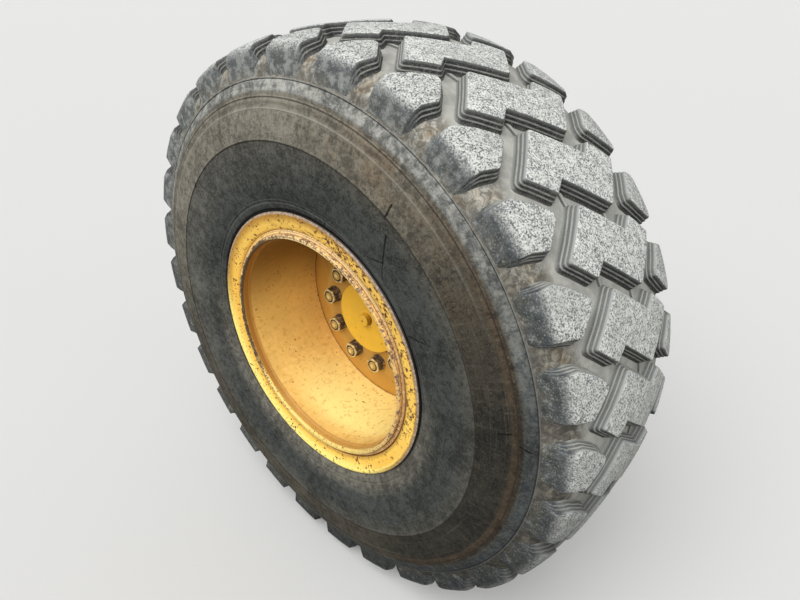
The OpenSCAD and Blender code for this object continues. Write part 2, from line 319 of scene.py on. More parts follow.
class Rubber(Finish):
    """Worn, dusty rubber: granite-like tread faces, dark stepped walls, rings of dust on the sidewall."""

    def __init__(self, tyre):
        super().__init__("tyre_rubber", Specular_IOR_Level=0.15)
        self.tyre = tyre
        self.grains = self.noise(300, 2.0, 0.6)
        self.coarse = self.noise(75, 2.0, 0.5, shift=3.1)
        self.patch = self.noise(28, 4.0, 0.6, shift=5.0)
        self.mottle = self.noise(52, 5.0, 0.65, shift=6.5)
        self.streaks = self.noise(1.0, 4.0, 0.65, self.spoked(60.0, 24.0), shift=4.0)
        self.rings = self.noise(1.0, 4.0, 0.6, self.wound(3.0, 260.0))
        self.skyward = self.toward(-0.34, 0.94)

    def worn_face(self):
        """The worn tops of the lugs, a little duller toward the shoulders."""
        cloud = self.noise(9, 3.0, shift=7.0)
        worn = self.layers(
            self.tyre.grain,
            ((self.grains * 0.74 + self.coarse * 0.26).rise(0.38, 0.60), self.tyre.worn),
            (self.grains.rise(0.41, 0.33) * 0.65, (76, 78, 80)),
            (cloud.rise(0.50, 0.70) * 0.35, (150, 150, 146)))
        return self.deepen(worn, 1 - 0.12 * self.across.rise(0.12, 0.17))

    def lug_wall(self, ledge):
        """The stepped walls of the lugs: dark rubber, and on the side that faces the light a lighter copy that is
        painted light with some dust.
        """
        # lit marks the walls that face the light: what grows with it below is painted light
        lit = self.mark("facing").rise(-0.6, 0.6)
        return self.layers(
            self.tyre.wall,
            (lit, self.tyre.dust_and_light_wall),
            (self.patch.rise(0.45, 0.7) * 0.4, (96, 96, 94)),
            (self.grains.rise(0.52, 0.68) * 0.35, (140, 140, 136)),
            (self.mark("deep").rise(0.75, 1.05) * (0.15 + 0.5 * lit), self.tyre.floor),
            # Dust on the ledges, stronger on the lit side as painted light
            (ledge * (0.35 + 0.35 * lit + 0.3 * self.coarse.rise(0.3, 0.6)), self.tyre.ledge),
            # Painted highlight on the rounded edges, strongest on the side that faces the light
            (self.mark("rounding") * (0.25 + 0.75 * lit), self.tyre.edge_grey))

    def lug_flank(self, rolled):
        """The outer ends of the shoulder lugs, where they roll over to the sidewall."""
        return self.layers(
            self.deepen(self.tyre.flank, 0.5),
            ((self.streaks * 0.35 + self.mottle * 0.65).rise(0.38, 0.60), self.tyre.flank),
            (self.mottle.rise(0.56, 0.70) * 0.6, (154, 156, 152)),
            (rolled.rise(0.45, 0.9) * self.patch.rise(0.42, 0.6) * 0.35, (116, 108, 92)),
            (rolled.hill(0.30, 0.3) * (self.patch * 0.6 + self.grains * 0.4).rise(0.60, 0.42) * 0.8,
             self.tyre.smudge),
            (self.grains.rise(0.55, 0.72) * 0.45, (176, 176, 170)),
            (self.grains.rise(0.42, 0.30) * 0.5, (56, 58, 60)),
            (self.skyward.rise(0.2, 0.9) * (0.15 + 0.5 * self.mottle.rise(0.45, 0.6)), (152, 154, 151)))

    def lugs(self):
        """A whole lug: worn top, stepped walls, and its end rolled over the shoulder."""
        top, ledge, rolled = self.mark("worn_face"), self.mark("ledge"), self.mark("rolled")
        lug = self.blend(top, self.lug_wall(ledge), self.worn_face())
        return self.blend(rolled.rise(0.02, 0.25) * (1 - top) * (1 - ledge * 0.6), lug, self.lug_flank(rolled))

    def grooves(self):
        """Pale dust on the groove floor, with dirt and stones in the outlets between the shoulder lugs, and painted
        shadow in the outlets toward the lower right.
        """
        outlet = self.across.rise(0.150, 0.200)
        stones = self.noise(46, 6.0, 0.7, shift=8.0, twist=1.6)
        return self.layers(
            self.tyre.floor,
            (self.patch.rise(0.40, 0.62) * 0.8, (146, 146, 141)),
            (outlet * self.mottle.rise(0.35, 0.6) * 0.75, (146, 137, 120)),
            (outlet * self.noise(30, 4.0, 0.6, shift=6.0).rise(0.52, 0.66) * 0.7, self.tyre.dirt),
            (outlet * self.noise(36, 5.0, 0.65, shift=8.0).rise(0.50, 0.62) * 0.8, (84, 82, 76)),
            (self.noise(130, 2.0).rise(0.55, 0.75) * 0.4, (168, 164, 152)),
            (outlet * stones.rise(0.53, 0.43) * 0.7, (84, 80, 72)),
            (outlet * stones.rise(0.56, 0.62) * 0.5, (196, 190, 174)),
            (self.across.rise(0.214, 0.226) * 0.5, (84, 82, 76)),
            # Painted shadow in the outlets toward the lower right of the wheel
            (outlet * self.toward(0.8, -0.6).rise(-0.1, 0.8) * (0.35 + 0.5 * self.mottle.rise(0.62, 0.42)),
             (66, 63, 57)))

    def sidewall_dust(self):
        """The sidewall's broad colours: dark next to the rim, then brown and dusty, then the smooth band, with a
        painted highlight on it toward the top.
        """
        tyre = self.tyre
        outward = (self.radius - WALL_START) / WALL_HEIGHT
        inside = outward.rise(0.12, 0.40) * outward.rise(0.57, 0.55)
        outside = outward.rise(0.550, 0.575) * outward.rise(0.92, 0.88)
        band = outward.rise(0.895, 0.925)
        blotch = self.noise(7, 4.0, 0.6, shift=9.0)
        wisps = self.noise(95, 4.0, 0.65, shift=2.0, twist=1.4)
        base = self.node("ShaderNodeValToRGB", {"stops": [
            (0.00, tyre.inner_wall), (0.40, tyre.inner_wall), (0.545, (72, 71, 65)), (0.575, tyre.outer_wall),
            (0.80, tyre.outer_wall), (0.84, (62, 57, 50)), (0.89, (76, 72, 63)), (0.92, tyre.band),
            (1.00, tyre.band)]}, {0: outward}, "Color")
        side = self.layers(
            base,
            (inside * self.toward(-0.87, 0.5).rise(0.1, 1.0) * 0.6, (94, 93, 87)),
            (outward.rise(0.24, 0.04) * self.up.rise(0.35, -0.35) * 0.8, (108, 104, 94)),
            (outside * self.skyward.rise(-0.3, 0.95) * 0.9, tyre.dusty),
            (outside * self.toward(0.87, 0.5).rise(0.45, 0.95) * self.toward(0.87, -0.5).rise(0.9, 0.3)
             * (0.2 + 0.6 * blotch.rise(0.42, 0.6)), tyre.brown),
            (outside * self.toward(0.98, -0.2).rise(0.30, 0.85) * 0.85, (38, 36, 31)),
            # The band is lighter toward the top: a painted highlight where it rounds over
            (band * self.skyward.rise(-0.35, 0.95) * 0.9, (146, 146, 140)),
            (band * (self.streaks * 0.5 + self.mottle * 0.5).rise(0.54, 0.42) * 0.4, (66, 71, 76)),
            (band * (self.patch * 0.5 + self.grains * 0.5).rise(0.54, 0.62) * self.skyward.rise(-0.4, 0.6) * 0.25,
             (176, 176, 170)),
            (self.radius.hill(0.6010, 0.0150) * self.toward(1.0, -0.3).rise(0.4, 0.9) * (0.3 + 0.5 * self.patch),
             (80, 63, 44)))
        grime = blotch * 0.30 + self.mottle * 0.34 + wisps * 0.36
        return self.layers(
            self.deepen(side, 0.50 + 0.95 * grime.rise(0.41, 0.60)),
            (wisps.hill(0.53, 0.012) * self.skyward.rise(-0.6, 0.6) * 0.22, (140, 138, 126)))

    def sidewall(self):
        """The whole sidewall: its broad colours, then rings, rays and specks, fine lines with painted shadows and
        highlights, and cracks.
        """
        rays = self.noise(1.0, 3.0, 0.6, self.spoked(60.0, 9.0), shift=4.0)
        side = self.layers(
            self.sidewall_dust(),
            (self.rings.rise(0.54, 0.74) * 0.2, (116, 110, 98)),
            (self.rings.rise(0.46, 0.3) * 0.3, (42, 42, 41)),
            (rays.rise(0.58, 0.75) * 0.16, (124, 116, 100)),
            (self.noise(240, 2.0).rise(0.58, 0.7) * self.skyward.rise(-1.6, 0.8) * 0.25, (128, 124, 114)))
        lit, dark = self.skyward.rise(0.0, 1.0), self.toward(-0.87, 0.5).rise(-0.3, 0.4)
        # Lines round the sidewall: painted shadow in the gap by the flange at 0.3605 and below the step at 0.5190,
        # painted highlights on the lit side at 0.5235 and 0.5845; the others are plain darker and lighter rings
        rings = ((0.3605, 0.0040, dark * 0.9, (20, 20, 20)), (0.3755, 0.0016, 0.4, (104, 102, 96)),
                 (0.3835, 0.0016, 0.35, (100, 98, 90)), (0.5190, 0.0030, 0.85, (32, 31, 28)),
                 (0.5235, 0.0020, lit * 0.4, (128, 122, 108)),
                 (0.5845, 0.0064, lit * (0.15 + 0.7 * self.patch), (148, 144, 133)),
                 (0.5960, 0.0060, 0.35, (70, 66, 58)), (0.6060, 0.0026, 0.75, (40, 37, 34)),
                 (0.6405, 0.0020, 0.85, (34, 34, 35)), (0.6435, 0.0014, 0.5, (128, 126, 118)))
        side = self.layers(side, *((self.radius.hill(line, reach) * strength, shade)
                                   for line, reach, strength, shade in rings))
        outer_side = (MIDDLE - self.y).rise(0.0, 0.1)
        return self.layers(side, *((self.crack(*crack) * outer_side * 0.9, (16, 16, 16)) for crack in CRACKS))

    def whole(self):
        """Tread above the edge line, sidewall below it. Gives the material."""
        tread = self.radius.rise(self.tyre.edge - 0.0005, self.tyre.edge + 0.0015)
        # The tread is darkened toward the lower right of the wheel: painted shade
        treaded = self.deepen(self.blend(self.mark("lug"), self.grooves(), self.lugs()),
                              1 - 0.55 * self.toward(0.5, -0.87).rise(0.35, 0.95))
        pits = self.grains * 0.5 + self.noise(500, 2.0) * 0.3 + self.rings * 0.4 + self.streaks * 0.3
        return self.use(self.blend(tread, self.sidewall(), treaded), roughness=0.72 + 0.2 * self.coarse,
                        height=pits, distance=0.0012, strength=0.6)


# The paint of the rim, hub and axle

class Paint(Finish):
    """Old paint over steel."""

    def __init__(self, name, rim, roughness=0.5):
        super().__init__(name, roughness)
        self.rim = rim

    def faded(self, base, dust, low=0.86):
        """Patches faded or deepened, and dust in the pores."""
        cloud, pores = self.noise(7, 4.0, 0.6, shift=2.0), self.noise(38, 3.0, shift=5.0)
        return self.layers(
            base,
            (cloud.rise(0.42, 0.68) * 0.55, times(base, low)),
            (cloud.rise(0.46, 0.34) * 0.35, times(base, 1.18)),
            (pores.rise(0.5, 0.72) * dust, self.rim.dust))

    def flecked(self, shade, share, scale=120, shift=1.0, spread=0.5):
        """Flecks of dark steel with a rusty rim, over about that share of the face: the colour and the flecks."""
        fine = self.noise(scale, 3.0, 0.6, shift=shift)
        where = self.noise(13, 3.0, 0.65, shift=shift + 7)
        bare = fine * (1 - 0.5 * spread) + where * 0.5 * spread
        edge = 0.70 - 0.42 * share
        shade = self.layers(
            shade,
            (bare.rise(edge - 0.035, edge) * 0.8, self.rim.rust),
            (bare.rise(edge + 0.004, edge + 0.018), self.rim.chip))
        return shade, bare.rise(edge - 0.01, edge + 0.01)

    def coated(self, shade, flecks, roughness, dents=0.0, distance=0.0008):
        """Gives the material: paint with a fine grain, sunk where the flecks and dents are."""
        height = self.noise(320, 2.0) * 0.25 - flecks * 0.6 - dents
        return self.use(shade, roughness=roughness, height=height, distance=distance, strength=0.6)


def worn_paint(name, rim, chips, dust):
    """Old paint over steel with dust and flecks."""
    f = Paint(name, rim)
    shade, flecks = f.flecked(f.faded(rim.disc, dust, 0.78), chips)
    return f.coated(shade, flecks, 0.5 + 0.3 * f.noise(60, 2.0))


def flange_paint(rim):
    """The removable flange: worn lilac-grey on the upper lip, painted highlights low down, painted shade toward the
    upper-left edge and in the recess on the lower right, a painted shadow in the gap by the tyre, rusty inside.
    """
    f = Paint("flange_paint", rim, 0.45)
    above, joint = f.toward(0.45, 0.9), f.toward(0.707, -0.707).rise(-0.6, 0.2)
    upper = above.rise(-0.35, 0.15)
    wander = f.radius + (f.noise(60, 3.0, shift=6.0) - 0.5) * 0.006
    jagged = f.radius + (f.noise(95, 4.0, 0.7, shift=3.0) - 0.5) * 0.018
    # Painted shade toward the outer edge on the upper left, where the curved face turns from the light; start is where
    # it begins
    start = 0.3430 - f.toward(-0.707, 0.707).rise(0.0, 1.0) * 0.022
    past = (wander - start) / (0.3480 - start)
    shade = f.layers(
        f.faded(rim.flange, 0.15, 0.78),
        ((1 - upper) * 0.9, (246, 192, 76)),
        # Painted highlights on the flange's crest, low down
        (wander.rise(0.316, 0.338) * f.toward(-0.45, -0.9).rise(0.25, 0.8) * 0.9, rim.bright),
        (wander.rise(0.3385, 0.3455) * (1 - upper) * 0.9, rim.bright),
        # Painted shade in the recess by the lock ring, on the lower right
        (wander.rise(0.3205, 0.3140) * joint * 0.75, times(rim.flange, 0.5)),
        (past.rise(0.0, 1.0) * above.rise(-0.6, -0.1) * 0.8, (158, 104, 20)))
    shade, flecks = f.flecked(shade, 0.22, 100)
    shade = f.flecked(shade, 0.20, 160, shift=9.0, spread=0.8)[0]
    crowded = f.flecked(shade, 0.32, 84, shift=4.0, spread=0.6)[0]
    worn = wander.rise(0.3476, 0.3498) * upper
    tone = f.noise(140, 3.0, shift=4.0)
    metal = f.layers(
        rim.lip,
        (tone.rise(0.46, 0.62), (180, 162, 140)),
        (tone.rise(0.40, 0.32) * 0.7, rim.chip))
    shade = f.layers(
        shade,
        (f.toward(0.7, 0.7).rise(0.25, 0.85), crowded),
        (worn, metal),
        (jagged.rise(0.3540, 0.3552) * (1 - upper), rim.chip),
        (jagged.rise(0.3520, 0.3545) * f.right.rise(-0.6, -0.9) * 0.8, rim.chip),
        # Painted shadow: near black on the lip's outer side, where the gap to the tyre lies in shade
        (f.y.rise(-0.5184, -0.5170) * f.radius.rise(0.3500, 0.3515) * above.rise(-0.7, -0.1), (18, 14, 10)),
        (f.radius.rise(0.3118, 0.3098) * (0.1 + 0.7 * joint), rim.rust),
        (f.y.rise(-0.505, -0.495) * 0.5 * joint, rim.rust))
    return f.coated(shade, flecks, 0.42 + 0.3 * tone, worn * 0.4 - f.radius.rise(0.335, 0.318) * 0.1)


def ring_paint(rim):
    """The lock ring: pinkish paint rubbed thin, pale flecks and a rusty joint on each side."""
    f = Finish("lock_ring_paint", 0.5)
    joint = f.toward(0.707, -0.707)
    tone = f.noise(1.0, 3.0, 0.6, f.wound(30.0, 500.0))
    fine = f.noise(170, 3.0, 0.6, shift=3.0)
    shade = f.layers(
        rim.flange,
        (f.toward(0.45, 0.9).rise(-0.5, 0.3) * f.right.rise(-0.8, -0.2), rim.ring),
        (joint.rise(-0.3, 0.7) * 0.9, (196, 146, 84)),
        (tone.rise(0.45, 0.6) * (0.15 + 0.5 * joint.rise(-0.5, 0.5)), rim.bare),
        (fine.rise(0.54, 0.62) * 0.7, rim.primer),
        (fine.rise(0.42, 0.35) * 0.8, rim.chip))
    for line in (0.3078, 0.2984):
        rusty = (f.radius + (fine - 0.5) * 0.003).hill(line, 0.0024)
        shade = f.blend(rusty * (0.1 + 0.8 * joint.rise(-0.6, 0.2)), shade, rim.rust)
    for line in (0.3052, 0.2990):
        rubbed = (f.radius + (fine - 0.5) * 0.002).hill(line, 0.0020)
        shade = f.blend(rubbed * joint.rise(0.3, -0.4) * 0.65, shade, (150, 104, 84))
    return f.use(shade, roughness=0.45 + 0.3 * fine, height=fine * 0.5, distance=0.0008, strength=0.6)


def lip_paint(f, rim, fine, large):
    """The gutter's lip round the mouth: cream primer low down, chipped to brown steel above and on the left."""
    mixed = fine * 0.6 + large * 0.4
    upper, left = f.toward(0.45, 0.9).rise(-0.75, 0.1), f.toward(1.0, -0.3).rise(-0.5, -0.8)
    worn = (f.radius + (large - 0.5) * 0.006).rise(0.2905, 0.2925)
    ragged = f.radius + (fine - 0.5) * 0.009
    primer = f.blend(f.right.rise(-0.1, 0.8) * 0.7, rim.primer, (226, 178, 98))
    chipped = f.layers(
        rim.bare,
        ((mixed - worn * 0.07).rise(0.40, 0.46), primer),
        (mixed.rise(0.450, 0.42), (104, 76, 56)),
        (fine.rise(0.60, 0.66) * 0.6, rim.flange))
    calm = f.layers(
        (236, 206, 112),
        (fine.rise(0.56, 0.66), rim.primer),
        ((mixed + f.right.rise(-0.3, -0.9) * -0.085).rise(0.43, 0.39), (104, 70, 44)))
    lip = f.layers(
        calm,
        (upper, chipped),
        (ragged.rise(0.2893, 0.2878) * upper * 0.85, (92, 62, 32)),
        ((ragged + (large - 0.5) * 0.030).rise(0.2945, 0.2925) * left * 0.9, (76, 50, 28)))
    return lip, mixed.rise(0.47, 0.43)


def barrel_paint(rim):
    """The rim base: a chipped lip round the mouth, a band of painted shade inside it, and dusty paint down the barrel,
    with painted light low down and painted shade at the top.
    """
    f = Paint("barrel_paint", rim)
    depth = f.y - (MIDDLE - FLANGE_FACE)
    low, high = f.toward(0.45, -0.9), f.toward(-0.2, 1.0).rise(0.0, 0.85)
    mottle = f.noise(60, 4.0, 0.65, shift=14.0)
    streaks = f.noise(1.0, 3.0, 0.6, f.stretched(f.x * 120, f.y * 9, f.z * 120))
    shade = f.layers(
        f.faded(rim.barrel, 0.2),
        # Painted light with pale dust, low down in the barrel
        (low.rise(0.1, 0.95) * depth.rise(0.03, 0.1) * 0.9, rim.low_dust_and_light),
        # Painted shade at the top of the barrel
        (high * 0.97, (120, 78, 8)),
        (mottle.rise(0.54, 0.66) * (0.45 - 0.25 * high), (196, 136, 46)),
        # Pale patches, more of them low down with the painted light
        (mottle.rise(0.44, 0.34) * low.rise(-0.3, 0.4) * 0.35, (255, 226, 150)),
        (streaks.rise(0.50, 0.70) * 0.12, (150, 98, 24)))
    shade, flecks = f.flecked(shade, 0.12, 125, spread=0.7)
    fine, large = f.noise(190, 4.0, 0.65, shift=3.0), f.noise(42, 3.0, 0.6, shift=12.0)
    lip, chips = lip_paint(f, rim, fine, large)
    # band: painted shade just inside the mouth, stronger on the left
    band = depth.rise(0.004, 0.010) * depth.rise(0.028, 0.022)
    front = ((depth + (fine - 0.5) * 0.006).rise(0.0075, 0.0045)).most(
        f.radius.rise(0.2950, 0.2965) * depth.rise(0.012, 0.011))
    shade = f.layers(
        shade,
        (band * (0.55 + 0.35 * f.right.rise(-0.3, -0.9)), (160, 104, 26)),
        (depth.hill(0.0250, 0.0060) * 0.6, (164, 108, 34)),
        ((depth + (streaks - 0.5) * 0.004).hill(0.265, 0.0040) * 0.85, (84, 54, 24)),
        (front, lip),
        (f.radius.rise(0.2965, 0.2975) * depth.hill(0.0100, 0.0018) * 0.9, rim.rust))
    return f.coated(shade, flecks, 0.45 + 0.3 * fine, front * chips, 0.0009)


def disc_paint(rim):
    """The disc: paint darkened next to the barrel, with painted shade round the nuts and in the gap round the hub cap.
    """
    f = Paint("disc_paint", rim)
    shade, flecks = f.flecked(f.faded(rim.disc, 0.2), 0.10, 125, spread=0.7)
    wander = f.radius + (f.noise(30, 3.0, shift=6.0) - 0.5) * 0.012
    shade = f.layers(
        shade,
        (wander.rise(0.262, 0.284) * 0.5, (176, 120, 46)),
        (f.radius.rise(0.2822, 0.2838) * 0.85, (84, 54, 24)),
        # Painted shade round the nuts
        (wander.hill(STUD_CIRCLE, 0.034) * 0.35, (168, 116, 52)),
        # Painted shade in the gap round the hub cap
        (f.radius.hill(0.1068, 0.0030) * 0.8, (112, 74, 26)))
    return f.coated(shade, flecks, 0.45 + 0.3 * f.noise(60, 2.0))


def cap_paint(name, rim):
    """The cap and its plug: newer paint, with painted shadow in the corner round the plug, strongest to the lower
    right, and dark in the plug's dimple.
    """
    f = Paint(name, rim)
    shade, flecks = f.flecked(
        f.layers(f.faded(rim.cap, 0.08), ((f.z / 0.1).rise(-0.2, 0.9) * 0.35, (206, 152, 34))), 0.03)
    corner = f.radius.rise(0.0172, 0.0182) * f.radius.rise(0.0208, 0.0196)
    shade = f.layers(
        shade,
        (f.radius.hill(0.0222, 0.0022) * 0.6, (255, 216, 110)),
        # Painted shadow of the plug on the cap, strongest to the lower right
        (corner * f.toward(1.0, -1.0).rise(-1.2, 0.6) * 0.85, (112, 72, 14)),
        (f.radius.rise(0.0036, 0.0022), (132, 78, 20)))
    return f.coated(shade, flecks, 0.5 + 0.3 * f.noise(60, 2.0))


def nut_steel(name, rim, front):
    """Weathered steel with old paint left on the end that faces outward, and a dark gap round the stud with painted
    shade. front is where that end lies.
    """
    f = Finish(name, 0.55)
    fine, out = f.noise(210, 3.0, 0.6), f.mark("from_stud")
    ends = (f.y + (fine - 0.5) * 0.002).rise(front + 0.0060, front + 0.0024)
    end = f.layers(
        # The dark gap between nut and stud, deepened as painted shade
        (56, 42, 30),
        (out.rise(0.0166, 0.0178) * (0.55 + 0.45 * fine.rise(0.42, 0.52)), rim.face),
        (out.rise(0.0128, 0.0118), (206, 166, 82)),
        (out.hill(0.0088, 0.0018) * 0.7, (120, 86, 40)),
        (out.rise(0.0064, 0.0050), (232, 204, 128)))
    shade = f.layers(
        rim.nut,
        (fine.rise(0.42, 0.62), times(rim.nut, 0.5)),
        (f.noise(90, 3.0, shift=4.0).rise(0.5, 0.66) * 0.6, rim.dust),
        (ends * (0.75 + 0.25 * fine.rise(0.36, 0.5)), end))
    return f.use(shade, roughness=0.5 + 0.3 * fine, height=fine, distance=0.0005, strength=0.6)


# Geometry helpers

def place_round(radius, angle, across):
    """A point at that radius and angle from +X toward +Z, and that distance outboard of the tyre's middle."""
    return (radius * math.cos(angle), MIDDLE - across, radius * math.sin(angle))


def shown(name, data):
    """A new object of the scene, at the origin."""
    made = bpy.data.objects.new(name, data)
    bpy.context.scene.collection.objects.link(made)
    return made


def faced(mesh, sharp, seam=None):
    """Turns a mesh's faces outward and marks its sharp edges, after points closer than seam are made one."""
    work = bmesh.new()
    work.from_mesh(mesh)
    if seam:
        bmesh.ops.remove_doubles(work, verts=work.verts, dist=seam)
    bmesh.ops.recalc_face_normals(work, faces=work.faces)
    work.to_mesh(mesh)
    work.free()
    mesh.shade_smooth()
    mesh.set_sharp_from_angle(angle=math.radians(sharp))


def solid(name, vertices, faces, material, sharp):
    """A piece with its material."""
    mesh = bpy.data.meshes.new(name)
    mesh.from_pydata(vertices, [], faces)
    faced(mesh, sharp, 1e-6)
    mesh.materials.append(material)
    return shown(name, mesh)


def belt(a, b, count, closed=True):
    """The faces between two rings of count points, whose first points are numbers a and b."""
    return [(a + i, a + (i + 1) % count, b + (i + 1) % count, b + i) for i in range(count if closed else count - 1)]


def turned(rows, count, closed=True):
    """The faces of that many rows of count points that close round an axis."""
    return [face for k in range(rows) for face in belt(k * count, (k + 1) % rows * count, count, closed)]


def through(points, x):
    """A smooth curve through rising points, by cubic pieces."""
    if x <= points[0][0]:
        return points[0][1]
    if x >= points[-1][0]:
        return points[-1][1]
    i = max(k for k in range(len(points) - 1) if points[k][0] <= x)

    def slope(k):
        if k == 0 or k == len(points) - 1:
            a, b = points[max(k - 1, 0)], points[min(k + 1, len(points) - 1)]
            return (b[1] - a[1]) / (b[0] - a[0])
        before = (points[k][1] - points[k - 1][1]) / (points[k][0] - points[k - 1][0])
        after = (points[k + 1][1] - points[k][1]) / (points[k + 1][0] - points[k][0])
        return 0.0 if before * after <= 0 else 2 * before * after / (before + after)
    (x0, y0), (x1, y1) = points[i], points[i + 1]
    t = (x - x0) / (x1 - x0)
    span = x1 - x0
    return (y0 * (1 + 2 * t) * (1 - t) ** 2 + slope(i) * span * t * (1 - t) ** 2
            + y1 * t * t * (3 - 2 * t) + slope(i + 1) * span * t * t * (t - 1))


def bake(piece):
    """Turns a piece and its modifiers into a plain mesh."""
    graph = bpy.context.evaluated_depsgraph_get()
    graph.update()
    rough, piece.data = piece.data, bpy.data.meshes.new_from_object(piece.evaluated_get(graph))
    piece.modifiers.clear()
    bpy.data.meshes.remove(rough)


def round_the_axle(piece, name, count, first, material, wander=0.0):
    """Repeats a piece round the axle with Geometry Nodes, and lets its surface wander a little."""
    tree = bpy.data.node_groups.new(name, "GeometryNodeTree")
    tree.is_modifier = True
    add = Nodes(tree).node
    tree.interface.new_socket("Geometry", in_out="OUTPUT", socket_type="NodeSocketGeometry")
    tree.interface.new_socket("Geometry", in_out="INPUT", socket_type="NodeSocketGeometry")
    modifier = piece.modifiers.new(name, "NODES")
    modifier.node_group = tree
    for label, kind, value in (("Count", "Int", count), ("First angle", "Float", first), ("Wander", "Float", wander),
                               ("Seed", "Float", 4.0), ("Finish", "Material", material)):
        socket = tree.interface.new_socket(label, in_out="INPUT", socket_type="NodeSocket" + kind)
        modifier[socket.identifier] = value

    def given(label):
        return add("NodeGroupInput", out=label)

    points = add("GeometryNodePoints", {}, {"Count": given("Count")})
    turn = add("GeometryNodeInputIndex") / given("Count") * (2 * math.pi) + given("First angle")
    euler = add("ShaderNodeCombineXYZ", {}, {"Y": turn * -1.0})
    copies = add("GeometryNodeInstanceOnPoints", {}, {"Points": points, "Instance": given("Geometry"),
                                                      "Rotation": euler})
    real = add("GeometryNodeRealizeInstances", {}, {"Geometry": copies})
    noise = add("ShaderNodeTexNoise", {"noise_dimensions": "4D"}, {
        "Vector": add("GeometryNodeInputPosition"), "W": given("Seed"), "Scale": 55.0, "Detail": 2.0}, "Color")
    centred = add("ShaderNodeVectorMath", {"operation": "SUBTRACT"}, {0: noise, 1: (0.5, 0.5, 0.5)})
    offset = add("ShaderNodeVectorMath", {"operation": "SCALE"}, {0: centred, "Scale": given("Wander")})
    moved = add("GeometryNodeSetPosition", {}, {"Geometry": real, "Offset": offset})
    dressed = add("GeometryNodeSetMaterial", {}, {"Geometry": moved, "Material": given("Finish")})
    add("NodeGroupOutput", {}, {0: dressed})
    bake(piece)


# The tyre's section

# How far the flanges' faces lie from the tyre's middle
FLANGE_FACE = 0.240
# Outer sidewall as (radius, how far it stands out from the flange's face)
SIDEWALL = ((0.3580, -0.0090), (0.3620, -0.0030), (0.3705, 0.0000), (0.3825, 0.0028), (0.4005, 0.0086),
            (0.4305, 0.0136), (0.4705, 0.0184), (0.5055, 0.0204), (0.5220, 0.0208), (0.5505, 0.0180),
            (0.5835, 0.0120), (0.6095, 0.0050), (0.6305, -0.0040), (0.6440, -0.0105))
# Fine raised and sunk lines on it as (radius, half width, height)
LINES = ((0.3755, 0.0011, 0.0009), (0.3790, 0.0014, -0.0010), (0.3835, 0.0012, 0.0008), (0.5195, 0.0013, 0.0014),
         (0.5840, 0.0011, 0.0012), (0.6060, 0.0014, -0.0010), (0.6110, 0.0014, -0.0008), (0.6395, 0.0011, -0.0016),
         (0.6430, 0.0010, 0.0012))
# Bead and liner as (radius, distance from the tyre's middle), and the groove floor as (share of the half width,
# how far it falls)
BEAD = ((0.3175, 0.194), (0.3260, 0.206), (0.3310, 0.215), (0.3380, 0.222), (0.3460, 0.226), (0.3530, 0.228))
LINER = ((0.3135, 0.140), (0.3225, 0.143), (0.3455, 0.178), (0.3705, 0.200), (0.4305, 0.224), (0.5005, 0.232),
         (0.5605, 0.228), (0.6195, 0.204), (0.6550, 0.185), (0.6760, 0.130), (0.6820, 0.060), (0.6820, 0.0))
FLOOR = ((0.0, 0.0), (0.44, 0.002), (0.72, 0.009), (0.88, 0.021), (0.96, 0.039), (1.0, 0.057))
# How far out the sidewall's points go, and their spacing on and off its fine lines
SIDEWALL_END, FINE_STEP, WIDE_STEP = 0.6445, 0.0006, 0.0045
# Where the shoulder lugs stand on the casing, and the points of the groove floor toward the middle
SHOULDER_FOOT = (0.6470, 0.2290)
FLOOR_WIDTHS = (0.2278, 0.2255, 0.2225, 0.2180, 0.2125, 0.206, 0.199, 0.191, 0.182, 0.172, 0.160, 0.146, 0.130,
                0.112, 0.092, 0.070, 0.046, 0.022)


def sidewall_at(radius):
    """How far outboard of the tyre's middle the sidewall stands at that radius."""
    lines = sum(rise * math.exp(-((radius - centre) / width) ** 2) for centre, width, rise in LINES)
    return FLANGE_FACE + through(SIDEWALL, radius) + lines


def groove_floor(tyre, across):
    """The radius of the groove floor at that distance from the tyre's middle."""
    return tyre.crown - tyre.groove - through(FLOOR, min(abs(across) / tyre.half, 1.0))


def casing_outline(tyre):
    """One half of the tyre's section as (radius, across), from the bead outside to the groove floor."""
    half, radius = list(BEAD), SIDEWALL[0][0]
    while radius < SIDEWALL_END:
        half.append((radius, sidewall_at(radius)))
        near = min(abs(radius - centre) / width for centre, width, _ in LINES)
        radius += FINE_STEP if near < 2.5 else WIDE_STEP
    return half + [SHOULDER_FOOT] + [(groove_floor(tyre, w), w) for w in FLOOR_WIDTHS]


def tyre_rubber(context):
    """The rubber, written once for the casing and the tread."""
    return bpy.data.materials.get("tyre_rubber") or Rubber(context.scene.wheel_tyre).whole()


class MakeCasing(bpy.types.Operator):
    """Makes the tyre's casing: beads, sidewalls with their rings, and the groove floor"""
    bl_idname = "wheel.make_casing"
    bl_label = "Tyre casing"

    def execute(self, context):
        tyre = context.scene.wheel_tyre
        outer = casing_outline(tyre)
        outline = outer + [(groove_floor(tyre, 0), 0.0)] + [(r, -w) for r, w in reversed(outer)]
        outline += [(r, -w) for r, w in LINER] + [(r, w) for r, w in reversed(LINER[:-1])]
        steps = 336
        vertices = [place_round(r, 2 * math.pi * k / steps, w) for k in range(steps) for r, w in outline]
        casing = solid("tyre_casing", vertices, turned(steps, len(outline)), tyre_rubber(context), 50)
        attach(casing, "wheel")
        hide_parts("tyre")
        return {"FINISHED"}


# The tread

# What each point of the tread is marked with for the rubber: top face, rounded edge, step, share of the depth, how
# far it has rolled over the shoulder, being on a lug (all 0 to about 1), and the way its wall faces (-1 to 1)
MARKS = ("worn_face", "rounding", "ledge", "deep", "rolled", "lug", "facing")
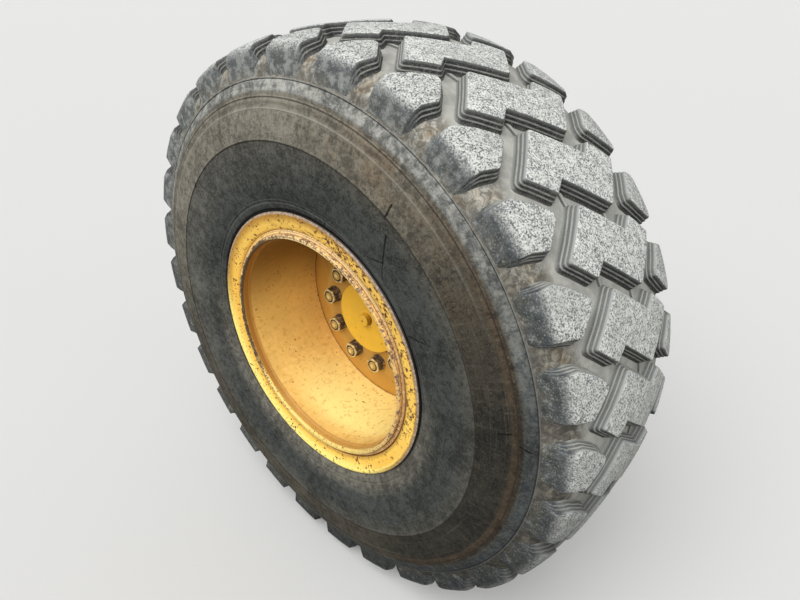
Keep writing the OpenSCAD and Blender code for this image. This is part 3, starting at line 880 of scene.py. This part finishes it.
# Corners of a lug's top as (along, across, radius) in millimetres, counter-clockwise
BLOCK = ((-33, 90, 3), (-12, 58, 1), (-98, -52, 8), (-16, -144, 6), (33, -90, 3), (12, -58, 1), (98, 52, 8),
         (16, 144, 6))
SHOULDER = ((63, 206, 20), (52, 175, 9), (93, 131, 8), (107, 127, 7), (138, 159, 16), (164, 195, 22),
            (166, 290, 6), (67, 290, 6))
# Where the ends of the shoulder lugs stand on the casing, and past which distance and over which length along the
# roll the worn face's look fades
LUG_FOOT, ROLL_FADE = 0.2262, (0.012, 0.018)
# How steeply the roll ends: nearly straight toward the axle
ROLL_END = math.radians(87.5)
# Spacing in millimetres of the points that let a lug's top follow the tyre
GRID = 15
# The largest share of a lug's side that the rounding of a corner may take
ROOM = 0.46
# Steps of a lug's wall as (outward, share of the depth, rounding, ledge), outward in millimetres
STEPS = ((-3.0, 0.0, 0, 0), (-1.2, 0.012, 0.5, 0), (0.2, 0.05, 1, 0), (1.2, 0.12, 1, 0), (1.8, 0.20, 0.3, 0),
         (2.3, 0.34, 0, 0), (2.8, 0.36, 0.0, 0.7), (4.4, 0.375, 0, 1), (5.0, 0.41, 0, 0.7), (5.4, 0.44, 0, 0),
         (5.9, 0.61, 0, 0), (6.4, 0.63, 0, 0.7), (8.0, 0.645, 0, 1), (8.6, 0.68, 0, 0.7), (9.0, 0.71, 0, 0),
         (9.8, 0.88, 0, 0), (12.2, 1.0, 0, 0), (16.0, 1.12, 0, 0))


def shoulder_path(tyre):
    """The line over the lugs: (across, radius) by distance from the middle, rolling down to the edge line."""
    def crown(w):
        return tyre.crown - tyre.drop * (w / tyre.half) ** 3
    start = tyre.half - 0.72 * tyre.roll
    lean = math.atan(3 * tyre.drop * start ** 2 / tyre.half ** 3)
    top = crown(start)
    centre = (start - tyre.roll * math.sin(lean), top - tyre.roll * math.cos(lean))
    sweep = ROLL_END - lean
    arc = tyre.roll * sweep

    def at(s):
        if s <= start:
            return s, crown(s)
        if s <= start + arc:
            a = lean + (s - start) / tyre.roll
            return centre[0] + tyre.roll * math.sin(a), centre[1] + tyre.roll * math.cos(a)
        a = lean + sweep
        rest = s - start - arc
        return (centre[0] + tyre.roll * math.sin(a) + rest * math.cos(a),
                centre[1] + tyre.roll * math.cos(a) - rest * math.sin(a))
    bottom = start + arc + (at(start + arc)[1] - tyre.edge) / math.sin(lean + sweep)
    return at, start, bottom


def rounded(corners, outward, least=1.5, parts=4, between=2):
    """The outline of a lug pushed outward, with rounded corners and the same number of points each time."""
    count = len(corners)
    points = [Vector(c[:2]) for c in corners]
    fillets = []
    for i in range(count):
        before = (points[i] - points[i - 1]).normalized()
        after = (points[(i + 1) % count] - points[i]).normalized()
        out_before, out_after = Vector((before.y, -before.x)), Vector((after.y, -after.x))
        vertex = points[i] + (out_before + out_after) * outward / (1 + out_before.dot(out_after))
        turn = math.atan2(before.x * after.y - before.y * after.x, before.dot(after))
        radius = corners[i][2] + outward if turn > 0 else max(corners[i][2] - outward, least)
        cut = radius * abs(math.tan(turn / 2))
        fillets.append((vertex, before, after, cut))
    ring = []
    for i, (vertex, before, after, cut) in enumerate(fillets):
        room_before = (vertex - fillets[i - 1][0]).length
        room_after = (fillets[(i + 1) % count][0] - vertex).length
        cut = min(cut, ROOM * room_before, ROOM * room_after)
        start, end = vertex - before * cut, vertex + after * cut
        for k in range(parts + 1):
            t = k / parts
            ring.append(start * (1 - t) ** 2 + vertex * 2 * t * (1 - t) + end * t * t)
        following = fillets[(i + 1) % count]
        next_cut = min(following[3], ROOM * room_after,
                       ROOM * (fillets[(i + 2) % count][0] - following[0]).length)
        next_start = following[0] - following[1] * next_cut
        ring += [end.lerp(next_start, k / (between + 1)) for k in range(1, between + 1)]
    return ring


def lug_mesh(tyre, corners, side):
    """One lug: vertices, faces and the marks of each vertex. side is 1 outboard, -1 inboard."""
    path, start, bottom = shoulder_path(tyre)
    rings = [rounded(corners, step[0]) for step in STEPS]
    count = len(rings[0])
    vertices, faces, marks = [], [], []

    def put(point, share, edge, ledge, top, facing=0.0):
        along, s = point.x / 1000, abs(point.y) / 1000
        sign = side * (1 if point.y >= 0 else -1)
        reach = min(s, bottom)
        w, r = path(reach)
        past = max(0.0, (reach - start) / (bottom - start))
        foot = min(w, start) + past * (LUG_FOOT - start)
        foot_r = groove_floor(tyre, foot) if past < 1 else tyre.edge - 0.001
        # The wall's foot goes on below the casing's face, so that no gap shows
        under = max(0.0, share - 1) * 0.06 + past * share * 0.004
        w += (foot - w) * min(share, 1.0) - past * under
        r += (foot_r - r) * min(share, 1.0) - under * (1 - past * 0.5)
        vertices.append(place_round(r, side * along / tyre.crown, sign * w))
        over = min(1.0, max(0.0, (s - start - ROLL_FADE[0]) / ROLL_FADE[1]))
        marks.append((top * (1 - over), edge * (1 - over), ledge * (1 - past) ** 0.5, share, past, 1.0, facing))

    ways = [side * (low - high).normalized().x for low, high in zip(rings[-1], rings[0])]
    for (_, share, edge, ledge), ring in zip(STEPS, rings):
        for point, facing in zip(ring, ways):
            put(point, share, edge, ledge, 1.0 if share < 0.03 else 0.0, facing)
    for k in range(len(rings) - 1):
        faces += belt(k * count, (k + 1) * count, count)
    for ring, first, share, top in ((rings[0], 0, 0.0, 1.0), (rings[-1], (len(rings) - 1) * count, STEPS[-1][1], 0.0)):
        (left, right), (low, high) = [(min(line), max(line)) for line in zip(*ring)]
        inside = [Vector((left + GRID * (i + 0.5), low + GRID * (j + 0.5)))
                  for i in range(int((right - left) / GRID)) for j in range(int((high - low) / GRID))]
        flat = ring + [p for p in inside if within(p, ring, GRID / 3)]
        edges = [(i, (i + 1) % count) for i in range(count)]
        _, _, triangles, origin, _, _ = delaunay_2d_cdt(flat, edges, [], 1, 1e-4)
        number = {}
        for new, old in enumerate(origin):
            source = old[0]
            if source < count:
                number[new] = first + source
            else:
                number[new] = len(vertices)
                put(flat[source], share, 0.0, 0.0, top)
        faces += [tuple(number[v] for v in t) for t in triangles]
    return vertices, faces, marks


def within(point, ring, margin):
    """Whether a point lies inside a ring and at least margin from it."""
    inside = False
    for i in range(len(ring)):
        a, b = ring[i - 1], ring[i]
        if (a.y > point.y) != (b.y > point.y) and point.x < (b.x - a.x) * (point.y - a.y) / (b.y - a.y) + a.x:
            inside = not inside
        along = b - a
        t = min(1.0, max(0.0, (point - a).dot(along) / max(along.length_squared, 1e-9)))
        if (point - a - along * t).length < margin:
            return False
    return inside


def tie_bar(tyre, side):
    """The low bar that ties a block's notch to the next block's corner: vertices, faces and marks."""
    # The last column puts the lug mark on the bar's top edges, painting the dark wall colour along both edges as
    # painted shade
    section = ((44.4, -3.0, 0.9), (45.8, 2.4, 0.9), (47.2, 3.6, 0.9), (48.4, 3.6, 0), (54.6, 3.6, 0), (55.8, 3.6, 0.9),
               (57.2, 2.4, 0.9), (58.6, -3.0, 0.9))
    vertices, marks = [], []
    for along in (-70, -42, -14):
        for across, lift, wall in section:
            r = groove_floor(tyre, across / 1000) + lift / 1000
            vertices.append(place_round(r, side * along / 1000 / tyre.crown, side * across / 1000))
            marks.append((0.0, 0.0, 0.0, 0.3, 0.0, float(wall), 0.0))
    count = len(section)
    ends = [tuple(range(count)), tuple(range(2 * count, 3 * count))]
    return vertices, belt(0, count, count) + belt(count, 2 * count, count) + ends, marks


class MakeTread(bpy.types.Operator):
    """Makes the tread: three-step blocks, tie bars and shoulder lugs, repeated round the tyre"""
    bl_idname = "wheel.make_tread"
    bl_label = "Tread lugs"

    def execute(self, context):
        tyre = context.scene.wheel_tyre
        vertices, faces, marks = [], [], []
        lugs = [lug_mesh(tyre, corners, side) for corners, side in ((BLOCK, 1), (SHOULDER, 1), (SHOULDER, -1))]
        for v, f, m in lugs + [tie_bar(tyre, 1), tie_bar(tyre, -1)]:
            base = len(vertices)
            vertices += v
            faces += [tuple(base + i for i in face) for face in f]
            marks += m
        mesh = bpy.data.meshes.new("tread_lugs")
        mesh.from_pydata(vertices, [], faces)
        for name, values in zip(MARKS, zip(*marks)):
            mesh.attributes.new(name, "FLOAT", "POINT").data.foreach_set("value", values)
        faced(mesh, 60)
        lugs = shown("tread_lugs", mesh)
        round_the_axle(lugs, "Tread round the tyre", tyre.pitches, tyre.first, tyre_rubber(context), 2 * tyre.grit)
        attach(lugs, "wheel")
        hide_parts("tyre")
        return {"FINISHED"}


# Rim, hub and axle

def dress(node, material):
    """Gives a CAD node its material."""
    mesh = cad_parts[node].data
    mesh.materials.clear()
    mesh.materials.append(material)


class PaintRim(bpy.types.Operator):
    """Paints the rim, its rings and the disc in old chipped yellow"""
    bl_idname = "wheel.paint_rim"
    bl_label = "Rim paint"

    def execute(self, context):
        rim = context.scene.wheel_rim
        dress("side_ring", flange_paint(rim))
        dress("lock_ring", ring_paint(rim))
        dress("rim_base", barrel_paint(rim))
        dress("wheel_disc", disc_paint(rim))
        return {"FINISHED"}


class PaintHub(bpy.types.Operator):
    """Paints the hub, its cap and plug, the stub axle and the seal"""
    bl_idname = "wheel.paint_hub"
    bl_label = "Hub and axle paint"

    def execute(self, context):
        rim = context.scene.wheel_rim
        dress("hub", worn_paint("hub_paint", rim, 0.1, 0.3))
        dress("hub_cap", cap_paint("cap_paint", rim))
        dress("cap_plug", cap_paint("plug_paint", rim))
        dress("stub_axle", worn_paint("axle_paint", rim, 0.14, 0.4))
        seal = Finish("seal_rubber", 0.6)
        dust = seal.noise(60, 3.0)
        shade = seal.blend(dust.rise(0.5, 0.7) * 0.5, (36, 36, 37), (110, 100, 84))
        dress("hub_seal", seal.use(shade, height=dust, distance=0.0004))
        return {"FINISHED"}


class DressValve(bpy.types.Operator):
    """Gives the valve its brass and its cap its plastic"""
    bl_idname = "wheel.dress_valve"
    bl_label = "Valve"

    def execute(self, context):
        brass = Finish("valve_brass", 0.35, Metallic=1.0)
        tarnish = brass.noise(140, 3.0)
        shade = brass.blend(tarnish.rise(0.4, 0.65), (196, 164, 96), (112, 92, 58))
        dress("valve_stem", brass.use(shade, roughness=0.3 + 0.4 * tarnish, height=tarnish, distance=0.0002))
        plastic = Finish("black_plastic", 0.45)
        grain = plastic.noise(420, 2.0)
        shade = plastic.blend(grain.rise(0.5, 0.75) * 0.4, (30, 30, 31), (92, 86, 76))
        dress("valve_cap", plastic.use(shade, height=grain, distance=0.0002))
        return {"FINISHED"}


# Half sections of a stud and a nut as (height over the disc's face, radius) in millimetres
STUD = ((-46, 0), (-46, 12.3), (20, 12.3), (21, 11.3), (22, 12.4), (23, 12.4), (24, 11.3), (25, 12.4), (26, 12.4),
        (27, 11.3), (28, 12.4), (28.6, 12.4), (30, 10.6), (30, 4), (29, 0))


# A nut: half its width over the flats, its height, and the radius at which the bevel of its corners starts
FLATS, NUT_HEIGHT, BEVEL = 19.9, 28, 19.0


def nut_section(turn):
    """The section of a hexagonal nut at that angle: collar, flats, and corners bevelled at the outer end."""
    side = FLATS / math.cos(turn % (math.pi / 3) - math.pi / 6)
    past = side - BEVEL
    return ((0, 12.6), (0, 23.6), (3.2, 23.8), (4, 23.2), (4.2, side), (NUT_HEIGHT - 0.3 - past * 0.55, side),
            (NUT_HEIGHT - past * 0.1, BEVEL + past * 0.3), (NUT_HEIGHT, 18.4), (NUT_HEIGHT, 14.2),
            (NUT_HEIGHT - 1.4, 12.6))


def on_first_stud(section, closed, steps=48):
    """Vertices and faces of a section turned about the line of a stud that stands toward +X."""
    rings = [section(2 * math.pi * k / steps) for k in range(steps)]
    vertices = [(STUD_CIRCLE + radius * math.cos(2 * math.pi * k / steps) / 1000, DISC_FACE - height / 1000,
                 radius * math.sin(2 * math.pi * k / steps) / 1000)
                for k, ring in enumerate(rings) for height, radius in ring]
    return vertices, turned(steps, len(rings[0]), closed)


class MakeNuts(bpy.types.Operator):
    """Makes the weathered wheel nuts with bevelled corners, and the threaded studs"""
    bl_idname = "wheel.make_nuts"
    bl_label = "Wheel nuts and studs"

    def execute(self, context):
        rim = context.scene.wheel_rim
        for name, node, slot, section, closed, end in (
                ("nut_set", "wheel_nuts", "nut_steel", nut_section, True, 0.028),
                ("stud_set", "wheel_studs", "stud_steel", lambda turn: STUD, False, 0.030)):
            vertices, faces = on_first_stud(section, closed)
            material = nut_steel(slot, rim, DISC_FACE - end)
            piece = solid(name, vertices, faces, material, 32)
            distance = [math.hypot(v.co.x - STUD_CIRCLE, v.co.z) for v in piece.data.vertices]
            piece.data.attributes.new("from_stud", "FLOAT", "POINT").data.foreach_set("value", distance)
            round_the_axle(piece, name, rim.studs, rim.first_stud, material)
            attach(piece, "wheel")
            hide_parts(node)
        return {"FINISHED"}


# Floor, lights and camera

# Half the width of the floor, which reaches to the horizon
FLOOR_HALF = 90.0


class SetStage(bpy.types.Operator):
    """Lays the floor under the tyre and sets the lights and the camera"""
    bl_idname = "wheel.set_stage"
    bl_label = "Stage"

    def execute(self, context):
        stage = context.scene.wheel_stage
        ground = Finish("stage_floor", 0.9)
        seen = ground.node("ShaderNodeLightPath", out="Is Camera Ray")
        mesh = bpy.data.meshes.new("stage_floor")
        far = FLOOR_HALF
        mesh.from_pydata([(x, y, TYRE_LOW.z) for x, y in ((-far, -far), (far, -far), (far, far), (-far, far))], [],
                         [(0, 1, 2, 3)])
        mesh.materials.append(ground.use(ground.blend(seen, stage.bounce, stage.floor)))
        floor = shown("stage_floor", mesh)
        self.light(context, stage)

        lens = bpy.data.cameras.new("camera")
        lens.sensor_width = 36.0
        lens.lens = stage.lens
        camera = shown("camera", lens)
        camera.location = stage.eye
        camera.rotation_euler = (math.pi / 2 - stage.tilt, 0.0, stage.turn)
        context.scene.camera = camera
        context.scene.view_settings.view_transform = "Standard"
        return {"FINISHED"}

    def light(self, context, stage):
        """Even light from all round on a white background, and two soft lamps."""
        world = bpy.data.worlds.new("studio")
        world.use_nodes = True
        sky = Nodes(world.node_tree)
        rays = [sky.node("ShaderNodeLightPath", out=f"Is {kind} Ray") for kind in ("Camera", "Glossy", "Transmission")]
        light, backdrop = [sky.node("ShaderNodeBackground", {}, {"Color": (1.0, 1.0, 1.0), "Strength": strength})
                           for strength in (stage.fill, 1.0)]
        mix = sky.node("ShaderNodeMixShader", {}, {0: rays[0].most(rays[1]).most(rays[2]), 1: light, 2: backdrop})
        sky.node("ShaderNodeOutputWorld", {}, {0: mix})
        context.scene.world = world

        for name, way, strength, spread in (("light_above", (0.15, -0.75, 1.0), stage.key, 55),
                                            ("light_right", (1.0, -0.5, 0.35), stage.side, 80)):
            lamp = bpy.data.lights.new(name, "SUN")
            lamp.energy = strength
            lamp.angle = math.radians(spread)
            stand = shown(name, lamp)
            stand.location = way
            stand.rotation_euler = Vector(way).to_track_quat("Z", "Y").to_euler()


class WheelPanel(bpy.types.Panel):
    """Lists the wheel's settings and the steps that make it"""
    bl_idname = "VIEW3D_PT_grader_wheel"
    bl_label = "Grader Wheel"
    bl_space_type = "VIEW_3D"
    bl_region_type = "UI"
    bl_category = "Grader Wheel"

    def draw(self, context):
        for group in (context.scene.wheel_tyre, context.scene.wheel_rim, context.scene.wheel_stage):
            box = self.layout.box()
            for name in group.__annotations__:
                box.prop(group, name)
        for step in STEPS_OF_WORK:
            self.layout.operator(step.bl_idname)


SETTINGS = {"wheel_tyre": TyreSettings, "wheel_rim": RimSettings, "wheel_stage": StageSettings}
STEPS_OF_WORK = (MakeCasing, MakeTread, PaintRim, PaintHub, DressValve, MakeNuts, SetStage)
CLASSES = (*SETTINGS.values(), *STEPS_OF_WORK, WheelPanel)


def register():
    """Registers the settings, the steps and the panel."""
    for made in CLASSES:
        bpy.utils.register_class(made)
    for name, group in SETTINGS.items():
        setattr(bpy.types.Scene, name, PointerProperty(type=group))


def unregister():
    """Takes them out again, in the reverse order."""
    for name in SETTINGS:
        delattr(bpy.types.Scene, name)
    for made in reversed(CLASSES):
        bpy.utils.unregister_class(made)


def main():
    """Makes the wheel step by step."""
    register()
    for step in STEPS_OF_WORK:
        area, name = step.bl_idname.split(".")
        getattr(getattr(bpy.ops, area), name)()


if __name__ == "__main__":
    main()
